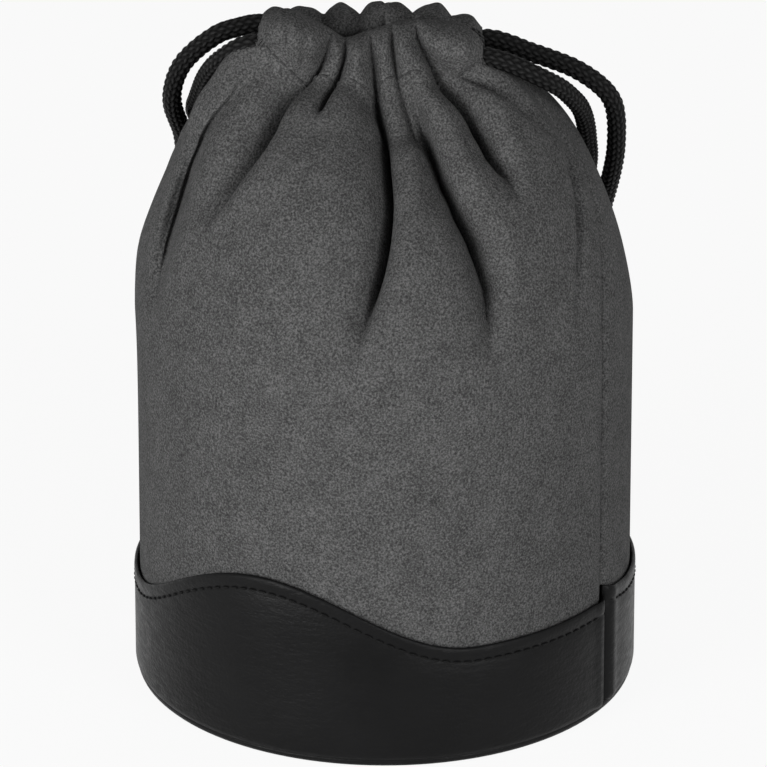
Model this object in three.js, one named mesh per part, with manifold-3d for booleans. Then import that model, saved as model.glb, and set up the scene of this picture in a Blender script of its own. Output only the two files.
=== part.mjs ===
// A drawstring lens pouch: a round leather base, a soft body gathered at the mouth, and two drawcords.
// Millimetres, +Z up. The origin is the centre of the base on the surface it stands on.
// The front, where the leather band rises in a wave, faces -Y, and the side seams start at -X and +X.

import * as THREE from 'three';
import { mergeVertices } from 'three/addons/utils/BufferGeometryUtils.js';
import Module from 'manifold-3d';

const wasm = await Module();
wasm.setup();

// Driving dimensions
const BASE_RADIUS = 60;            // outside of the leather band
const HEIGHT = 165;                // rim of the gathered mouth
const FIT = 0.3;                   // gap between pieces that touch
const LEATHER = 1.0;               // band wall
const SUEDE = 1.2;                 // body wall

const BASE_DISC_THICKNESS = 2.0;
const BASE_DISC_INSET = 0.6;       // the disc's edge sits in from the band
const BASE_DISC_ROUND = 1.2;       // rounded lower edge
const BOARD_THICKNESS = 2.0;
const PAD_THICKNESS = 5.0;
const LINING_THICKNESS = 1.0;

const BAND_HEIGHT = 29.5;          // front band at the sides
const BAND_WAVE = 16.3;            // how far the wave rises above that
const BAND_WAVE_SPREAD = THREE.MathUtils.degToRad(50);
const BAND_BACK_HEIGHT = 31;

const SHOULDER_START = 92;         // the body is a plain cylinder up to here
const PLEAT_SHARPNESS = 1.5;       // a pleat's profile, 2 being a soft round trough
const PLEATS_LEVEL_OFF = 6;        // below the tunnel, where the pleats turn from sloping to level

const CORD_DIAMETER = 5;
const CORD_SLACK = 0.4;            // room round each cord in its tunnel
const HEM_WALL = 1.0;
const HEM_LENGTH = 54;
const HEM_CORNER = 2.2;            // rounded corners of the tunnel's section
const MOUTH_GAP = 7;               // between the front and back hems
const MOUTH_SHIFT = -3;            // the gathered mouth sits off the middle
const MOUTH_TURN = THREE.MathUtils.degToRad(28.5);

const PULL_TRAVEL = 20;            // how far a cord still pulls out
const PULL_HOLD = 2;               // left in the tunnel at full pull
const CORD_LEAD = 3;               // straight stretch between the tunnel and the first bend
const CROSSING_BEND = 3.6;         // bend where a cord crosses from one tunnel to the other
const CROSSING_INSET = 0.6;        // the crossing stays this far inside the end of the tunnels
const KNOT_RADIUS = 6.5;
const KNOT_LENGTH = 15;
const KNOT_TAIL = 16;              // loose end below the knot
const KNOT_TAIL_SPREAD = 3.2;      // between the middles of the two loose ends and the knot's axis

const ROUND_SEGMENTS = 48;
const PANEL_STATIONS = 43;
const PANEL_ROWS = 13;
const BAND_STATIONS = 40;
const CORD_SIDES = 10;
const CORD_STEP = 2 * CORD_DIAMETER;

// Heights and radii that follow from them
const bodyRadius = BASE_RADIUS - LEATHER - FIT;
const insideRadius = bodyRadius - SUEDE - FIT;
const sewnEdge = BASE_DISC_THICKNESS + FIT;
const boardBottom = sewnEdge;
const padBottom = boardBottom + BOARD_THICKNESS + FIT;
const liningBottom = padBottom + PAD_THICKNESS + FIT;

const hemThickness = CORD_DIAMETER + 2 * CORD_SLACK + 2 * HEM_WALL;
const hemHeight = 2 * CORD_DIAMETER + 3 * CORD_SLACK + 2 * HEM_WALL;
const hemBottom = HEIGHT - hemHeight;
const hemMiddle = MOUTH_GAP / 2 + hemThickness / 2;
const hemLeft = MOUTH_SHIFT - HEM_LENGTH / 2;
const hemRight = MOUTH_SHIFT + HEM_LENGTH / 2;
const bodyTop = hemBottom - FIT;
const lowerCord = hemBottom + HEM_WALL + CORD_SLACK + CORD_DIAMETER / 2;
const upperCord = lowerCord + CORD_DIAMETER + CORD_SLACK;
const cordInTunnel = PULL_TRAVEL + PULL_HOLD;
const crossingReach = CROSSING_BEND + CORD_DIAMETER / 2 + CROSSING_INSET;

// Materials
function cloth(color, roughness) {
  return new THREE.MeshStandardMaterial({ color, roughness, metalness: 0 });
}

const suedeGrey = () => cloth(0x4a4a4a, 0.95);
const leatherBlack = () => cloth(0x1c1c1d, 0.5);
const boardGrey = () => cloth(0x6f6a62, 0.9);
const foamGrey = () => cloth(0x55565a, 1.0);
const liningGrey = () => cloth(0x3a3a3c, 0.95);
const cordBlack = () => cloth(0x0d0d0e, 0.85);

const pouch = new THREE.Group();
const mouth = new THREE.Group();
mouth.rotation.z = MOUTH_TURN;
pouch.add(mouth);

function place(parent, name, geometry, material) {
  const mesh = new THREE.Mesh(geometry, material);
  mesh.name = name;
  parent.add(mesh);
  return mesh;
}

// Booleans
function solidOf(geometry) {
  const bare = geometry.clone();
  bare.deleteAttribute('normal');
  bare.deleteAttribute('uv');
  const merged = mergeVertices(bare);
  return new wasm.Manifold(new wasm.Mesh({
    numProp: 3,
    vertProperties: new Float32Array(merged.attributes.position.array),
    triVerts: new Uint32Array(merged.index.array),
  }));
}

function geometryOf(solid) {
  const mesh = solid.getMesh();
  const geometry = new THREE.BufferGeometry();
  geometry.setAttribute('position', new THREE.BufferAttribute(mesh.vertProperties, mesh.numProp));
  geometry.setIndex(new THREE.BufferAttribute(mesh.triVerts, 1));
  geometry.computeVertexNormals();
  return geometry;
}

// A round disc that lies flat, with its lower edge rounded.
function discGeometry(radius, bottom, thickness, round = 0) {
  const top = bottom + thickness;
  const outline = [new THREE.Vector2(0, bottom)];
  const arcPoints = 4;
  for (let i = 0; i < arcPoints && round > 0; i += 1) {
    const angle = (i / arcPoints) * (Math.PI / 2);
    outline.push(new THREE.Vector2(
      radius - round + round * Math.sin(angle),
      bottom + round - round * Math.cos(angle),
    ));
  }
  outline.push(new THREE.Vector2(radius, bottom + round));
  outline.push(new THREE.Vector2(radius, top));
  outline.push(new THREE.Vector2(0, top));
  return new THREE.LatheGeometry(outline, ROUND_SEGMENTS).rotateX(Math.PI / 2);
}

// A closed curved wall. outer(i, j) and inner(i, j) give its faces: i runs round it, j runs up it.
function wallGeometry(outer, inner, stations, rows) {
  const positions = [];
  for (const face of [outer, inner]) {
    for (let i = 0; i <= stations; i += 1) {
      for (let j = 0; j <= rows; j += 1) {
        positions.push(...face(i / stations, j / rows).toArray());
      }
    }
  }
  const at = (i, j) => i * (rows + 1) + j;
  const inside = (stations + 1) * (rows + 1);
  const index = [];
  const quad = (a, b, c, d) => index.push(a, b, c, a, c, d);
  for (let i = 0; i < stations; i += 1) {
    for (let j = 0; j < rows; j += 1) {
      const [a, b, c, d] = [at(i, j), at(i + 1, j), at(i + 1, j + 1), at(i, j + 1)];
      quad(a, b, c, d);
      quad(inside + d, inside + c, inside + b, inside + a);
    }
    const [low, nextLow] = [at(i, 0), at(i + 1, 0)];
    quad(low, inside + low, inside + nextLow, nextLow);
    const [high, nextHigh] = [at(i, rows), at(i + 1, rows)];
    quad(high, nextHigh, inside + nextHigh, inside + high);
  }
  for (let j = 0; j < rows; j += 1) {
    const [first, firstUp] = [at(0, j), at(0, j + 1)];
    quad(first, firstUp, inside + firstUp, inside + first);
    const [last, lastUp] = [at(stations, j), at(stations, j + 1)];
    quad(last, inside + last, inside + lastUp, lastUp);
  }
  const geometry = new THREE.BufferGeometry();
  geometry.setAttribute('position', new THREE.Float32BufferAttribute(positions, 3));
  geometry.setIndex(index);
  geometry.computeVertexNormals();
  return geometry;
}

// Base: leather disc, stiff board, foam pad and lining, one above the other.
place(pouch, 'base_disc',
  discGeometry(BASE_RADIUS - BASE_DISC_INSET, 0, BASE_DISC_THICKNESS, BASE_DISC_ROUND), leatherBlack());
place(pouch, 'base_board', discGeometry(insideRadius, boardBottom, BOARD_THICKNESS), boardGrey());
place(pouch, 'base_pad', discGeometry(insideRadius, padBottom, PAD_THICKNESS), foamGrey());
place(pouch, 'floor_lining', discGeometry(insideRadius, liningBottom, LINING_THICKNESS), liningGrey());

// Leather band: two strips that meet at the side seams. The front one rises in a wave.
function bandWaveHeight(angleFromFront) {
  const share = Math.min(Math.abs(angleFromFront) / BAND_WAVE_SPREAD, 1);
  return BAND_HEIGHT + BAND_WAVE * Math.cos(share * Math.PI / 2) ** 2;
}

function bandGeometry(seamAngle, topHeight) {
  const seamGap = FIT / 2 / BASE_RADIUS;
  const face = (radius) => (share, up) => {
    const angle = seamAngle + seamGap + share * (Math.PI - 2 * seamGap);
    const top = topHeight(angle - seamAngle - Math.PI / 2);
    return new THREE.Vector3(
      radius * Math.cos(angle),
      radius * Math.sin(angle),
      sewnEdge + up * (top - sewnEdge),
    );
  };
  return wallGeometry(face(BASE_RADIUS), face(BASE_RADIUS - LEATHER), BAND_STATIONS, 1);
}

place(pouch, 'band_front', bandGeometry(Math.PI, bandWaveHeight), leatherBlack());
place(pouch, 'band_back', bandGeometry(0, () => BAND_BACK_HEIGHT), leatherBlack());

// Body: two soft panels. Below the shoulder they are a cylinder. Above it they draw in to the long
// narrow mouth, falling into pleats, and the seams turn with the mouth.
const mouthHalfLength = HEM_LENGTH / 2;
const mouthHalfDepth = MOUTH_GAP / 2 + hemThickness;
const mouthSquareness = 4;         // exponent of the section at the mouth, 2 being an ellipse
const shoulderEase = 1.5;          // how gently the body starts to draw in
const shoulderFullness = 0.6;      // below 1 the shoulder stays full and draws in late

function bodySection(height) {
  const rise = Math.max(0, (height - SHOULDER_START) / (bodyTop - SHOULDER_START));
  const drawnIn = 1 - (1 - rise ** shoulderEase) ** shoulderFullness;
  return {
    shift: MOUTH_SHIFT * drawnIn,
    turn: MOUTH_TURN * (1 - THREE.MathUtils.smoothstep(rise, 0, 1)),
    halfLength: THREE.MathUtils.lerp(bodyRadius, mouthHalfLength, drawnIn),
    halfDepth: THREE.MathUtils.lerp(bodyRadius, mouthHalfDepth, drawnIn),
    power: 2 / THREE.MathUtils.lerp(2, mouthSquareness, rise ** 4),
  };
}

// A level line across one panel, from its left seam to its right one as seen from outside.
class PanelLine extends THREE.Curve {
  constructor(seamAngle, height) {
    super();
    this.arcLengthDivisions = 800;
    this.section = bodySection(height);
    this.height = height;
    const seamGap = (FIT / 2 / this.section.halfDepth) ** (1 / this.section.power);
    this.startAngle = seamAngle + seamGap - this.section.turn;
    this.sweep = Math.PI - 2 * seamGap;
  }

  getPoint(share) {
    const { shift, halfLength, halfDepth, power } = this.section;
    const side = Math.cos(this.startAngle + share * this.sweep);
    const front = Math.sin(this.startAngle + share * this.sweep);
    return new THREE.Vector3(
      shift + halfLength * Math.sign(side) * Math.abs(side) ** power,
      halfDepth * Math.sign(front) * Math.abs(front) ** power,
      this.height,
    );
  }
}

// Main pleats of each panel, from the tunnel downwards. A path lists height, share of the panel's width
// from its left seam, and depth. Left and right are how far the cloth falls away to either side.
const FRONT_PLEATS = [
  {
    left: 3,
    right: 3,
    path: [[150, 0.12, 0], [144, 0.135, 3.4], [132, 0.125, 3.8], [122, 0.14, 3.2], [94, 0.25, 0]],
  },
  {
    left: 6,
    right: 3,
    path: [[151.5, 0.307, 3], [147, 0.291, 5], [140, 0.298, 6], [134, 0.299, 4], [120, 0.3, 0]],
  },
  {
    left: 5,
    right: 3,
    path: [[151.5, 0.507, 3.2], [140, 0.551, 7], [130, 0.569, 6.4], [118, 0.59, 4.6], [98, 0.615, 0]],
  },
  {
    left: 6,
    right: 3,
    path: [[151.5, 0.615, 0], [146, 0.63, 5], [138, 0.652, 7], [126, 0.705, 6.4], [100, 0.79, 0]],
  },
  {
    left: 5,
    right: 3,
    path: [[151.5, 0.7, 3], [148, 0.738, 5.2], [142, 0.746, 5.4], [136, 0.758, 3.4], [130, 0.765, 0]],
  },
];
const BACK_PLEATS = [
  {
    left: 5,
    right: 4,
    path: [[151.5, 0.18, 3], [144, 0.175, 4.4], [132, 0.17, 2.6], [120, 0.17, 0]],
  },
  {
    left: 3,
    right: 6,
    path: [[151.5, 0.345, 3.2], [142, 0.34, 6.4], [128, 0.342, 5.6], [100, 0.355, 0]],
  },
  {
    left: 6,
    right: 3,
    path: [[151.5, 0.53, 3.2], [140, 0.53, 7], [126, 0.525, 6.4], [98, 0.51, 0]],
  },
  {
    left: 3,
    right: 6,
    path: [[151.5, 0.66, 3.2], [142, 0.67, 6.4], [128, 0.665, 5.6], [102, 0.65, 0]],
  },
  {
    left: 4,
    right: 5,
    path: [[151.5, 0.8, 3], [143, 0.82, 4.4], [130, 0.825, 2.6], [116, 0.825, 0]],
  },
];

function pleatAt(path, height) {
  const next = path.findIndex(([level]) => level < height);
  if (next <= 0) {
    return next === 0 ? path[0].slice(1) : [0, 0];
  }
  const [above, below] = [path[next - 1], path[next]];
  const down = (above[0] - height) / (above[0] - below[0]);
  return [1, 2].map((k) => THREE.MathUtils.lerp(above[k], below[k], down));
}

function pleatDepth(pleats, share, height, width) {
  let depth = 0;
  for (const { left, right, path } of pleats) {
    const [middle, deepest] = pleatAt(path, height);
    const aside = (share - middle) * width;
    depth += deepest * Math.exp(-((Math.abs(aside) / (aside < 0 ? left : right)) ** PLEAT_SHARPNESS));
  }
  return depth;
}

// Rows are close together over the shoulder, where the panel curves, with a single one below it.
function panelHeight(up) {
  const row = up * PANEL_ROWS;
  return row <= 1
    ? THREE.MathUtils.lerp(sewnEdge, SHOULDER_START, row)
    : THREE.MathUtils.mapLinear(row, 1, PANEL_ROWS, SHOULDER_START, bodyTop);
}

function panelGeometry(seamAngle, pleats) {
  const shareStep = 0.01;
  const heightStep = 0.5;
  const face = (inset) => (share, up) => {
    const height = panelHeight(up);
    const line = new PanelLine(seamAngle, height);
    const lineAbove = new PanelLine(seamAngle, Math.min(height + heightStep, bodyTop));
    const lineBelow = new PanelLine(seamAngle, Math.max(height - heightStep, sewnEdge));
    const across = line.getPointAt(Math.min(share + shareStep, 1));
    across.sub(line.getPointAt(Math.max(share - shareStep, 0)));
    const upwards = lineAbove.getPointAt(share).sub(lineBelow.getPointAt(share));
    const outwards = across.cross(upwards).normalize();
    outwards.z *= 1 - THREE.MathUtils.smoothstep(height, bodyTop - PLEATS_LEVEL_OFF, bodyTop);
    const depth = inset + pleatDepth(pleats, share, height, line.getLength());
    return line.getPointAt(share).addScaledVector(outwards.normalize(), -depth);
  };
  return wallGeometry(face(0), face(SUEDE), PANEL_STATIONS, PANEL_ROWS);
}

place(mouth, 'body_front', panelGeometry(Math.PI, FRONT_PLEATS), suedeGrey());
place(mouth, 'body_back', panelGeometry(0, BACK_PLEATS), suedeGrey());

// Hem tunnels: the folded top edge of each panel, hollow for the two cords that lie one above the other.
// Near both ends the wall towards the mouth is open, where a cord crosses to the other tunnel.
function roundedOutline(Outline, halfWidth, low, high, corner) {
  const outline = new Outline();
  outline.moveTo(-halfWidth + corner, low);
  outline.lineTo(halfWidth - corner, low);
  outline.absarc(halfWidth - corner, low + corner, corner, -Math.PI / 2, 0);
  outline.lineTo(halfWidth, high - corner);
  outline.absarc(halfWidth - corner, high - corner, corner, 0, Math.PI / 2);
  outline.lineTo(-halfWidth + corner, high);
  outline.absarc(-halfWidth + corner, high - corner, corner, Math.PI / 2, Math.PI);
  outline.lineTo(-halfWidth, low + corner);
  outline.absarc(-halfWidth + corner, low + corner, corner, Math.PI, Math.PI * 1.5);
  return outline;
}

function hemGeometry(inwards) {
  const section = roundedOutline(THREE.Shape, hemThickness / 2, 0, hemHeight, HEM_CORNER);
  const bore = roundedOutline(
    THREE.Path, hemThickness / 2 - HEM_WALL, HEM_WALL, hemHeight - HEM_WALL, HEM_CORNER - HEM_WALL,
  );
  section.holes.push(bore);
  const tunnel = new THREE.ExtrudeGeometry(section, {
    depth: HEM_LENGTH, steps: 1, bevelEnabled: false, curveSegments: 4,
  });
  const alongMouth = new THREE.Matrix4().makeBasis(
    new THREE.Vector3(0, 1, 0), new THREE.Vector3(0, 0, 1), new THREE.Vector3(1, 0, 0),
  );
  const openLength = crossingReach + CORD_SLACK;
  let hem = solidOf(tunnel.applyMatrix4(alongMouth));
  for (const end of [0, HEM_LENGTH]) {
    const opening = new THREE.BoxGeometry(2 * openLength, 2 * HEM_CORNER, hemHeight - 2 * HEM_WALL);
    opening.translate(end, inwards * hemThickness / 2, hemHeight / 2);
    hem = hem.subtract(solidOf(opening));
  }
  return geometryOf(hem);
}

for (const [name, side] of [['hem_front', -1], ['hem_back', 1]]) {
  place(mouth, name, hemGeometry(-side), suedeGrey()).position.set(hemLeft, side * hemMiddle, hemBottom);
}

// Drawcords
function cordGeometry(curve, step) {
  const section = new THREE.Shape();
  for (let i = 0; i < CORD_SIDES; i += 1) {
    const angle = (i / CORD_SIDES) * 2 * Math.PI;
    const corner = [CORD_DIAMETER / 2 * Math.cos(angle), CORD_DIAMETER / 2 * Math.sin(angle)];
    if (i === 0) {
      section.moveTo(...corner);
    } else {
      section.lineTo(...corner);
    }
  }
  const steps = Math.max(1, Math.round(curve.getLength() / step));
  return new THREE.ExtrudeGeometry(section, { steps, bevelEnabled: false, extrudePath: curve });
}

// The part of a cord that stays in the tunnels: along the front, across at the far end, along the back.
class TunnelRun extends THREE.Curve {
  constructor(start, turn, direction, height) {
    super();
    Object.assign(this, { start, turn, direction, height });
    this.straight = Math.abs(turn - start);
    this.bend = CROSSING_BEND * Math.PI / 2;
    this.across = 2 * (hemMiddle - CROSSING_BEND);
    this.total = 2 * this.straight + 2 * this.bend + this.across;
  }

  getPoint(t, target = new THREE.Vector3()) {
    const middle = this.total / 2;
    const travelled = t * this.total;
    const side = travelled < middle ? -1 : 1;
    const fromEnd = Math.min(travelled, this.total - travelled);
    if (fromEnd <= this.straight) {
      return target.set(this.start + this.direction * fromEnd, side * hemMiddle, this.height);
    }
    if (fromEnd <= this.straight + this.bend) {
      const angle = (fromEnd - this.straight) / CROSSING_BEND;
      return target.set(
        this.turn + this.direction * CROSSING_BEND * Math.sin(angle),
        side * (hemMiddle - CROSSING_BEND * (1 - Math.cos(angle))),
        this.height,
      );
    }
    const left = middle - fromEnd;
    return target.set(this.turn + this.direction * CROSSING_BEND, side * left, this.height);
  }
}

// Routes of the four free strands past the straight lead, along the mouth, across it and up.
// They arch out, fall behind the shoulder and hang down the back to the knot.
const STRAND_ROUTES = {
  left_front_strand: [
    [-38.2, -6.9, 160.3], [-40.3, -5.4, 158], [-41.8, -2.8, 155], [-43, 0.7, 151.6],
    [-44, 4.8, 147.8], [-45, 9.4, 143.8], [-45.8, 14.6, 139.8], [-46.2, 20.2, 135.9],
    [-45.2, 26.6, 131.5], [-44.2, 33, 126.2], [-43.4, 38, 120.4], [-42.4, 42.6, 113.6],
    [-41, 46.6, 106], [-38.6, 49.8, 97.6], [-35.8, 53, 88.4], [-32.6, 55.8, 78.6],
    [-29.8, 58, 69.4], [-28, 59.4, 61.8], [-27.7, 60, 58.6],
  ],
  left_back_strand: [
    [-39, 7.5, 160.2], [-42, 7.8, 157.8], [-45, 8.5, 154.4], [-47.8, 9.6, 150.2],
    [-50, 11.1, 145.6], [-51.4, 13.2, 140.4], [-51.7, 16, 135.2], [-51.2, 20, 129.2],
    [-50.4, 24.8, 122.6], [-49.5, 30.2, 115.6], [-48.8, 35.4, 108.6], [-47.6, 40, 100.8],
    [-45.6, 43.6, 92], [-42.8, 47, 83], [-39.6, 50.4, 74], [-36.6, 53.6, 65.6],
    [-34.8, 55.4, 60.6], [-34.4, 55.9, 58.6],
  ],
  right_front_strand: [
    [32.8, -7.3, 155], [35.6, -6.7, 153.4], [38.4, -5, 151], [41, -1.9, 148.2],
    [43.6, 2.2, 144.4], [45.7, 7, 140.4], [47, 12, 135.8], [47.8, 17, 130.6],
    [48.2, 21.4, 126], [48.6, 26, 121.2], [48.7, 30.4, 116.8], [48.4, 34.8, 111.8],
    [47.2, 40.2, 105], [44.4, 44.6, 97.2], [41, 48.8, 88.4], [37.2, 52.2, 79.4],
    [33.8, 55.4, 70.8], [30.8, 57.8, 63.4], [29.8, 58.9, 60], [29.7, 59.2, 58.6],
  ],
  right_back_strand: [
    [32.8, 7.4, 154.9], [36, 7.5, 153.3], [39.6, 7.6, 151.6], [43.8, 8, 149.7],
    [47.2, 8.4, 147.5], [50, 9.2, 145], [52.4, 10.6, 142], [53.9, 12.2, 138.6],
    [54.6, 14, 134.4], [54.8, 16.2, 129.4], [54.7, 19.2, 123.4], [54.1, 22.8, 117.4],
    [53.3, 27.2, 111.4], [52.2, 32, 104.6], [50.8, 36.2, 97], [49, 40, 88.6],
    [46, 44, 80], [42.4, 47.8, 72.4], [39, 51.4, 65.6], [36.8, 54, 60.8],
    [36.2, 54.8, 58.6],
  ],
};

function strandGeometry(start, route) {
  const points = [start, ...route.map((p) => new THREE.Vector3(...p))];
  const tube = solidOf(cordGeometry(new THREE.CatmullRomCurve3(points, false, 'centripetal'), CORD_STEP));
  const roundEnd = new THREE.SphereGeometry(CORD_DIAMETER / 2, CORD_SIDES, 6);
  roundEnd.translate(start.x, start.y, start.z);
  return geometryOf(tube.add(solidOf(roundEnd)));
}

// An overhand knot over both strands of a cord, with the two loose ends below it.
function knotGeometry(frontEnd, backEnd) {
  const middle = frontEnd.clone().add(backEnd).multiplyScalar(0.5);
  const outwards = new THREE.Vector3(middle.x, middle.y, 0).normalize();
  const centre = outwards.clone().multiplyScalar(bodyRadius + KNOT_RADIUS + 2 * FIT);
  centre.z = middle.z - FIT - KNOT_LENGTH / 2;
  const ball = new THREE.SphereGeometry(1, 16, 10).rotateX(Math.PI / 2);
  ball.scale(KNOT_RADIUS, KNOT_RADIUS, KNOT_LENGTH / 2);
  ball.translate(...centre);
  let knot = solidOf(ball);
  const sideways = new THREE.Vector3(-outwards.y, outwards.x, 0);
  for (const side of [-1, 1]) {
    const top = centre.clone().addScaledVector(sideways, side * KNOT_TAIL_SPREAD / 2);
    const tip = centre.clone().addScaledVector(sideways, side * KNOT_TAIL_SPREAD);
    tip.z -= KNOT_LENGTH / 2 + KNOT_TAIL;
    knot = knot.add(solidOf(cordGeometry(new THREE.LineCurve3(top, tip), CORD_STEP)));
  }
  return geometryOf(knot);
}

// direction is -1 for the cord whose ends come out on the left, and 1 for the right.
function addDrawcord(name, direction, height, exit, farEnd) {
  const inner = exit - direction * cordInTunnel;
  const outer = exit + direction * CORD_LEAD;
  const turn = farEnd + direction * crossingReach;
  const run = new TunnelRun(inner - direction * FIT, turn, -direction, height);
  place(mouth, `${name}_cord_run`, cordGeometry(run, CORD_DIAMETER / 2), cordBlack());
  const ends = [];
  for (const [panel, side] of [['front', -1], ['back', 1]]) {
    const lead = new THREE.LineCurve3(
      new THREE.Vector3(inner, side * hemMiddle, height),
      new THREE.Vector3(outer, side * hemMiddle, height),
    );
    place(mouth, `${name}_${panel}_lead`, cordGeometry(lead, CORD_STEP), cordBlack());
    const strand = `${name}_${panel}_strand`;
    const pivot = outer + direction * (FIT + CORD_DIAMETER / 2);
    const start = new THREE.Vector3(pivot, side * hemMiddle, height);
    const route = STRAND_ROUTES[strand];
    place(mouth, strand, strandGeometry(start, route), cordBlack());
    ends.push(new THREE.Vector3(...route.at(-1)));
  }
  place(mouth, `${name}_knot`, knotGeometry(...ends), cordBlack());
}

addDrawcord('left', -1, upperCord, hemLeft, hemRight);
addDrawcord('right', 1, lowerCord, hemRight, hemLeft);

export default pouch;
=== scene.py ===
# A drawstring lens pouch: a black leather base, a grey suede body gathered at the mouth, and two drawcords.
# Metres and +Z up, in the CAD model's frame. The leather wave faces -Y.
import math

import bmesh
import bpy
import numpy as np
from mathutils import Matrix, Vector


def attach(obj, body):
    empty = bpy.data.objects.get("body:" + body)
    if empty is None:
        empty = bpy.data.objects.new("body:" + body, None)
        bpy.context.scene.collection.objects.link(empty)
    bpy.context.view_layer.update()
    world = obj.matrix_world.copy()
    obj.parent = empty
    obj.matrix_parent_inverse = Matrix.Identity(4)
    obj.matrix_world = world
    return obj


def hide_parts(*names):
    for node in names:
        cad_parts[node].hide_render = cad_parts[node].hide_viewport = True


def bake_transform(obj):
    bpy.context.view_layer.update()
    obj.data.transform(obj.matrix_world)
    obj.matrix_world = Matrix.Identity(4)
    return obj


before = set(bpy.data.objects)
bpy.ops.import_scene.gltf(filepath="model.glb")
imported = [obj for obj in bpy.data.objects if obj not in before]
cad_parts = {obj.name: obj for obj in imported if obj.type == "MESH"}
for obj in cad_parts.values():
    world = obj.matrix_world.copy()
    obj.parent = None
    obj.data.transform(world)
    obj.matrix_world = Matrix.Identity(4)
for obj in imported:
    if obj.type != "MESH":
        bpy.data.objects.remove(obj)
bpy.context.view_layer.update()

# The view. The pouch is seen from above its front right, through a long lens that keeps its sides upright.
# The gathered mouth is turned to the same side, so it is drawn straight across the picture.
MOUTH_TURN = math.radians(28.5)
VIEW_REACH = 1.7106
VIEW_HEIGHT = 0.8269
VIEW_AIM = Vector((-0.00025, -0.0002, 0.0721))
VIEW_LENS = 369.4

camera_data = bpy.data.cameras.new("view")
camera_data.sensor_width = 36.0
camera_data.lens = VIEW_LENS
camera_data.clip_end = 20.0
camera = bpy.data.objects.new("view", camera_data)
camera.location = (math.sin(MOUTH_TURN) * VIEW_REACH, -math.cos(MOUTH_TURN) * VIEW_REACH, VIEW_HEIGHT)
camera.rotation_euler = (VIEW_AIM - camera.location).to_track_quat("-Z", "Y").to_euler()
bpy.context.scene.collection.objects.link(camera)
bpy.context.scene.camera = camera

# Base leather. A round of smooth black imitation leather under the pouch, cut a little smaller than the band.
# Its rim is rolled over a cord into a narrow bead that stands on the table.
BASE_RIM_RADIUS = 0.0583
BASE_BEAD = 0.0012
BASE_TOP = 0.0020
SPIN_STEPS = 128
LEATHER_DARK = (0.0032, 0.0032, 0.0033)
LEATHER_LIGHT = (0.0056, 0.0056, 0.0058)
LEATHER_POLISHED = 0.34
LEATHER_DULL = 0.50
PEBBLE_SCALE = 1100.0
CREASE_SCALE = 260.0
CREASE_FLATTENING = 3.2
TONE_SCALE = 45.0


def finish_piece(name, bm, material, body, replaced=()):
    bmesh.ops.remove_doubles(bm, verts=bm.verts, dist=1e-6)
    mesh = bpy.data.meshes.new(name)
    bm.to_mesh(mesh)
    bm.free()
    mesh.materials.append(material)
    mesh.polygons.foreach_set("use_smooth", [True] * len(mesh.polygons))
    piece = bpy.data.objects.new(name, mesh)
    bpy.context.scene.collection.objects.link(piece)
    if body:
        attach(piece, body)
    if replaced:
        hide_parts(*replaced)
    return piece


def close_mesh(bm, apart=1e-6):
    bmesh.ops.remove_doubles(bm, verts=bm.verts, dist=apart)
    bmesh.ops.holes_fill(bm, edges=[edge for edge in bm.edges if edge.is_boundary], sides=0)
    bmesh.ops.recalc_face_normals(bm, faces=bm.faces)
    return bm


def spun(outline):
    bm = bmesh.new()
    points = [bm.verts.new((radius, 0.0, height)) for radius, height in outline]
    edges = [bm.edges.new(pair) for pair in zip(points, points[1:])]
    bmesh.ops.spin(
        bm, geom=points + edges, cent=(0, 0, 0), axis=(0, 0, 1),
        angle=2 * math.pi, steps=SPIN_STEPS, use_merge=True,
    )
    return close_mesh(bm)


def set_sockets(node, values):
    for socket, value in values.items():
        node.inputs[socket].default_value = value
    return node


def new_material(name, values):
    material = bpy.data.materials.new(name)
    material.use_nodes = True
    nodes = material.node_tree.nodes
    return material, nodes, material.node_tree.links, set_sockets(nodes["Principled BSDF"], values)


def noise_node(nodes, links, vector, scale, detail=3.0, roughness=0.55):
    texture = nodes.new("ShaderNodeTexNoise")
    set_sockets(texture, {"Scale": scale, "Detail": detail, "Roughness": roughness})
    links.new(vector, texture.inputs["Vector"])
    return texture.outputs["Fac"]


def grey(level):
    return (level, level, level)


def ramp_node(nodes, links, value, stops):
    ramp = nodes.new("ShaderNodeValToRGB")
    while len(ramp.color_ramp.elements) < len(stops):
        ramp.color_ramp.elements.new(0.5)
    for element, (place, level) in zip(ramp.color_ramp.elements, stops):
        element.position = place
        element.color = (*level, 1.0)
    links.new(value, ramp.inputs["Fac"])
    return ramp.outputs["Color"]


def bump_node(nodes, links, height, strength, distance, below=None):
    bump = set_sockets(nodes.new("ShaderNodeBump"), {"Strength": strength, "Distance": distance})
    links.new(height, bump.inputs["Height"])
    if below is not None:
        links.new(below, bump.inputs["Normal"])
    return bump.outputs["Normal"]


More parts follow.
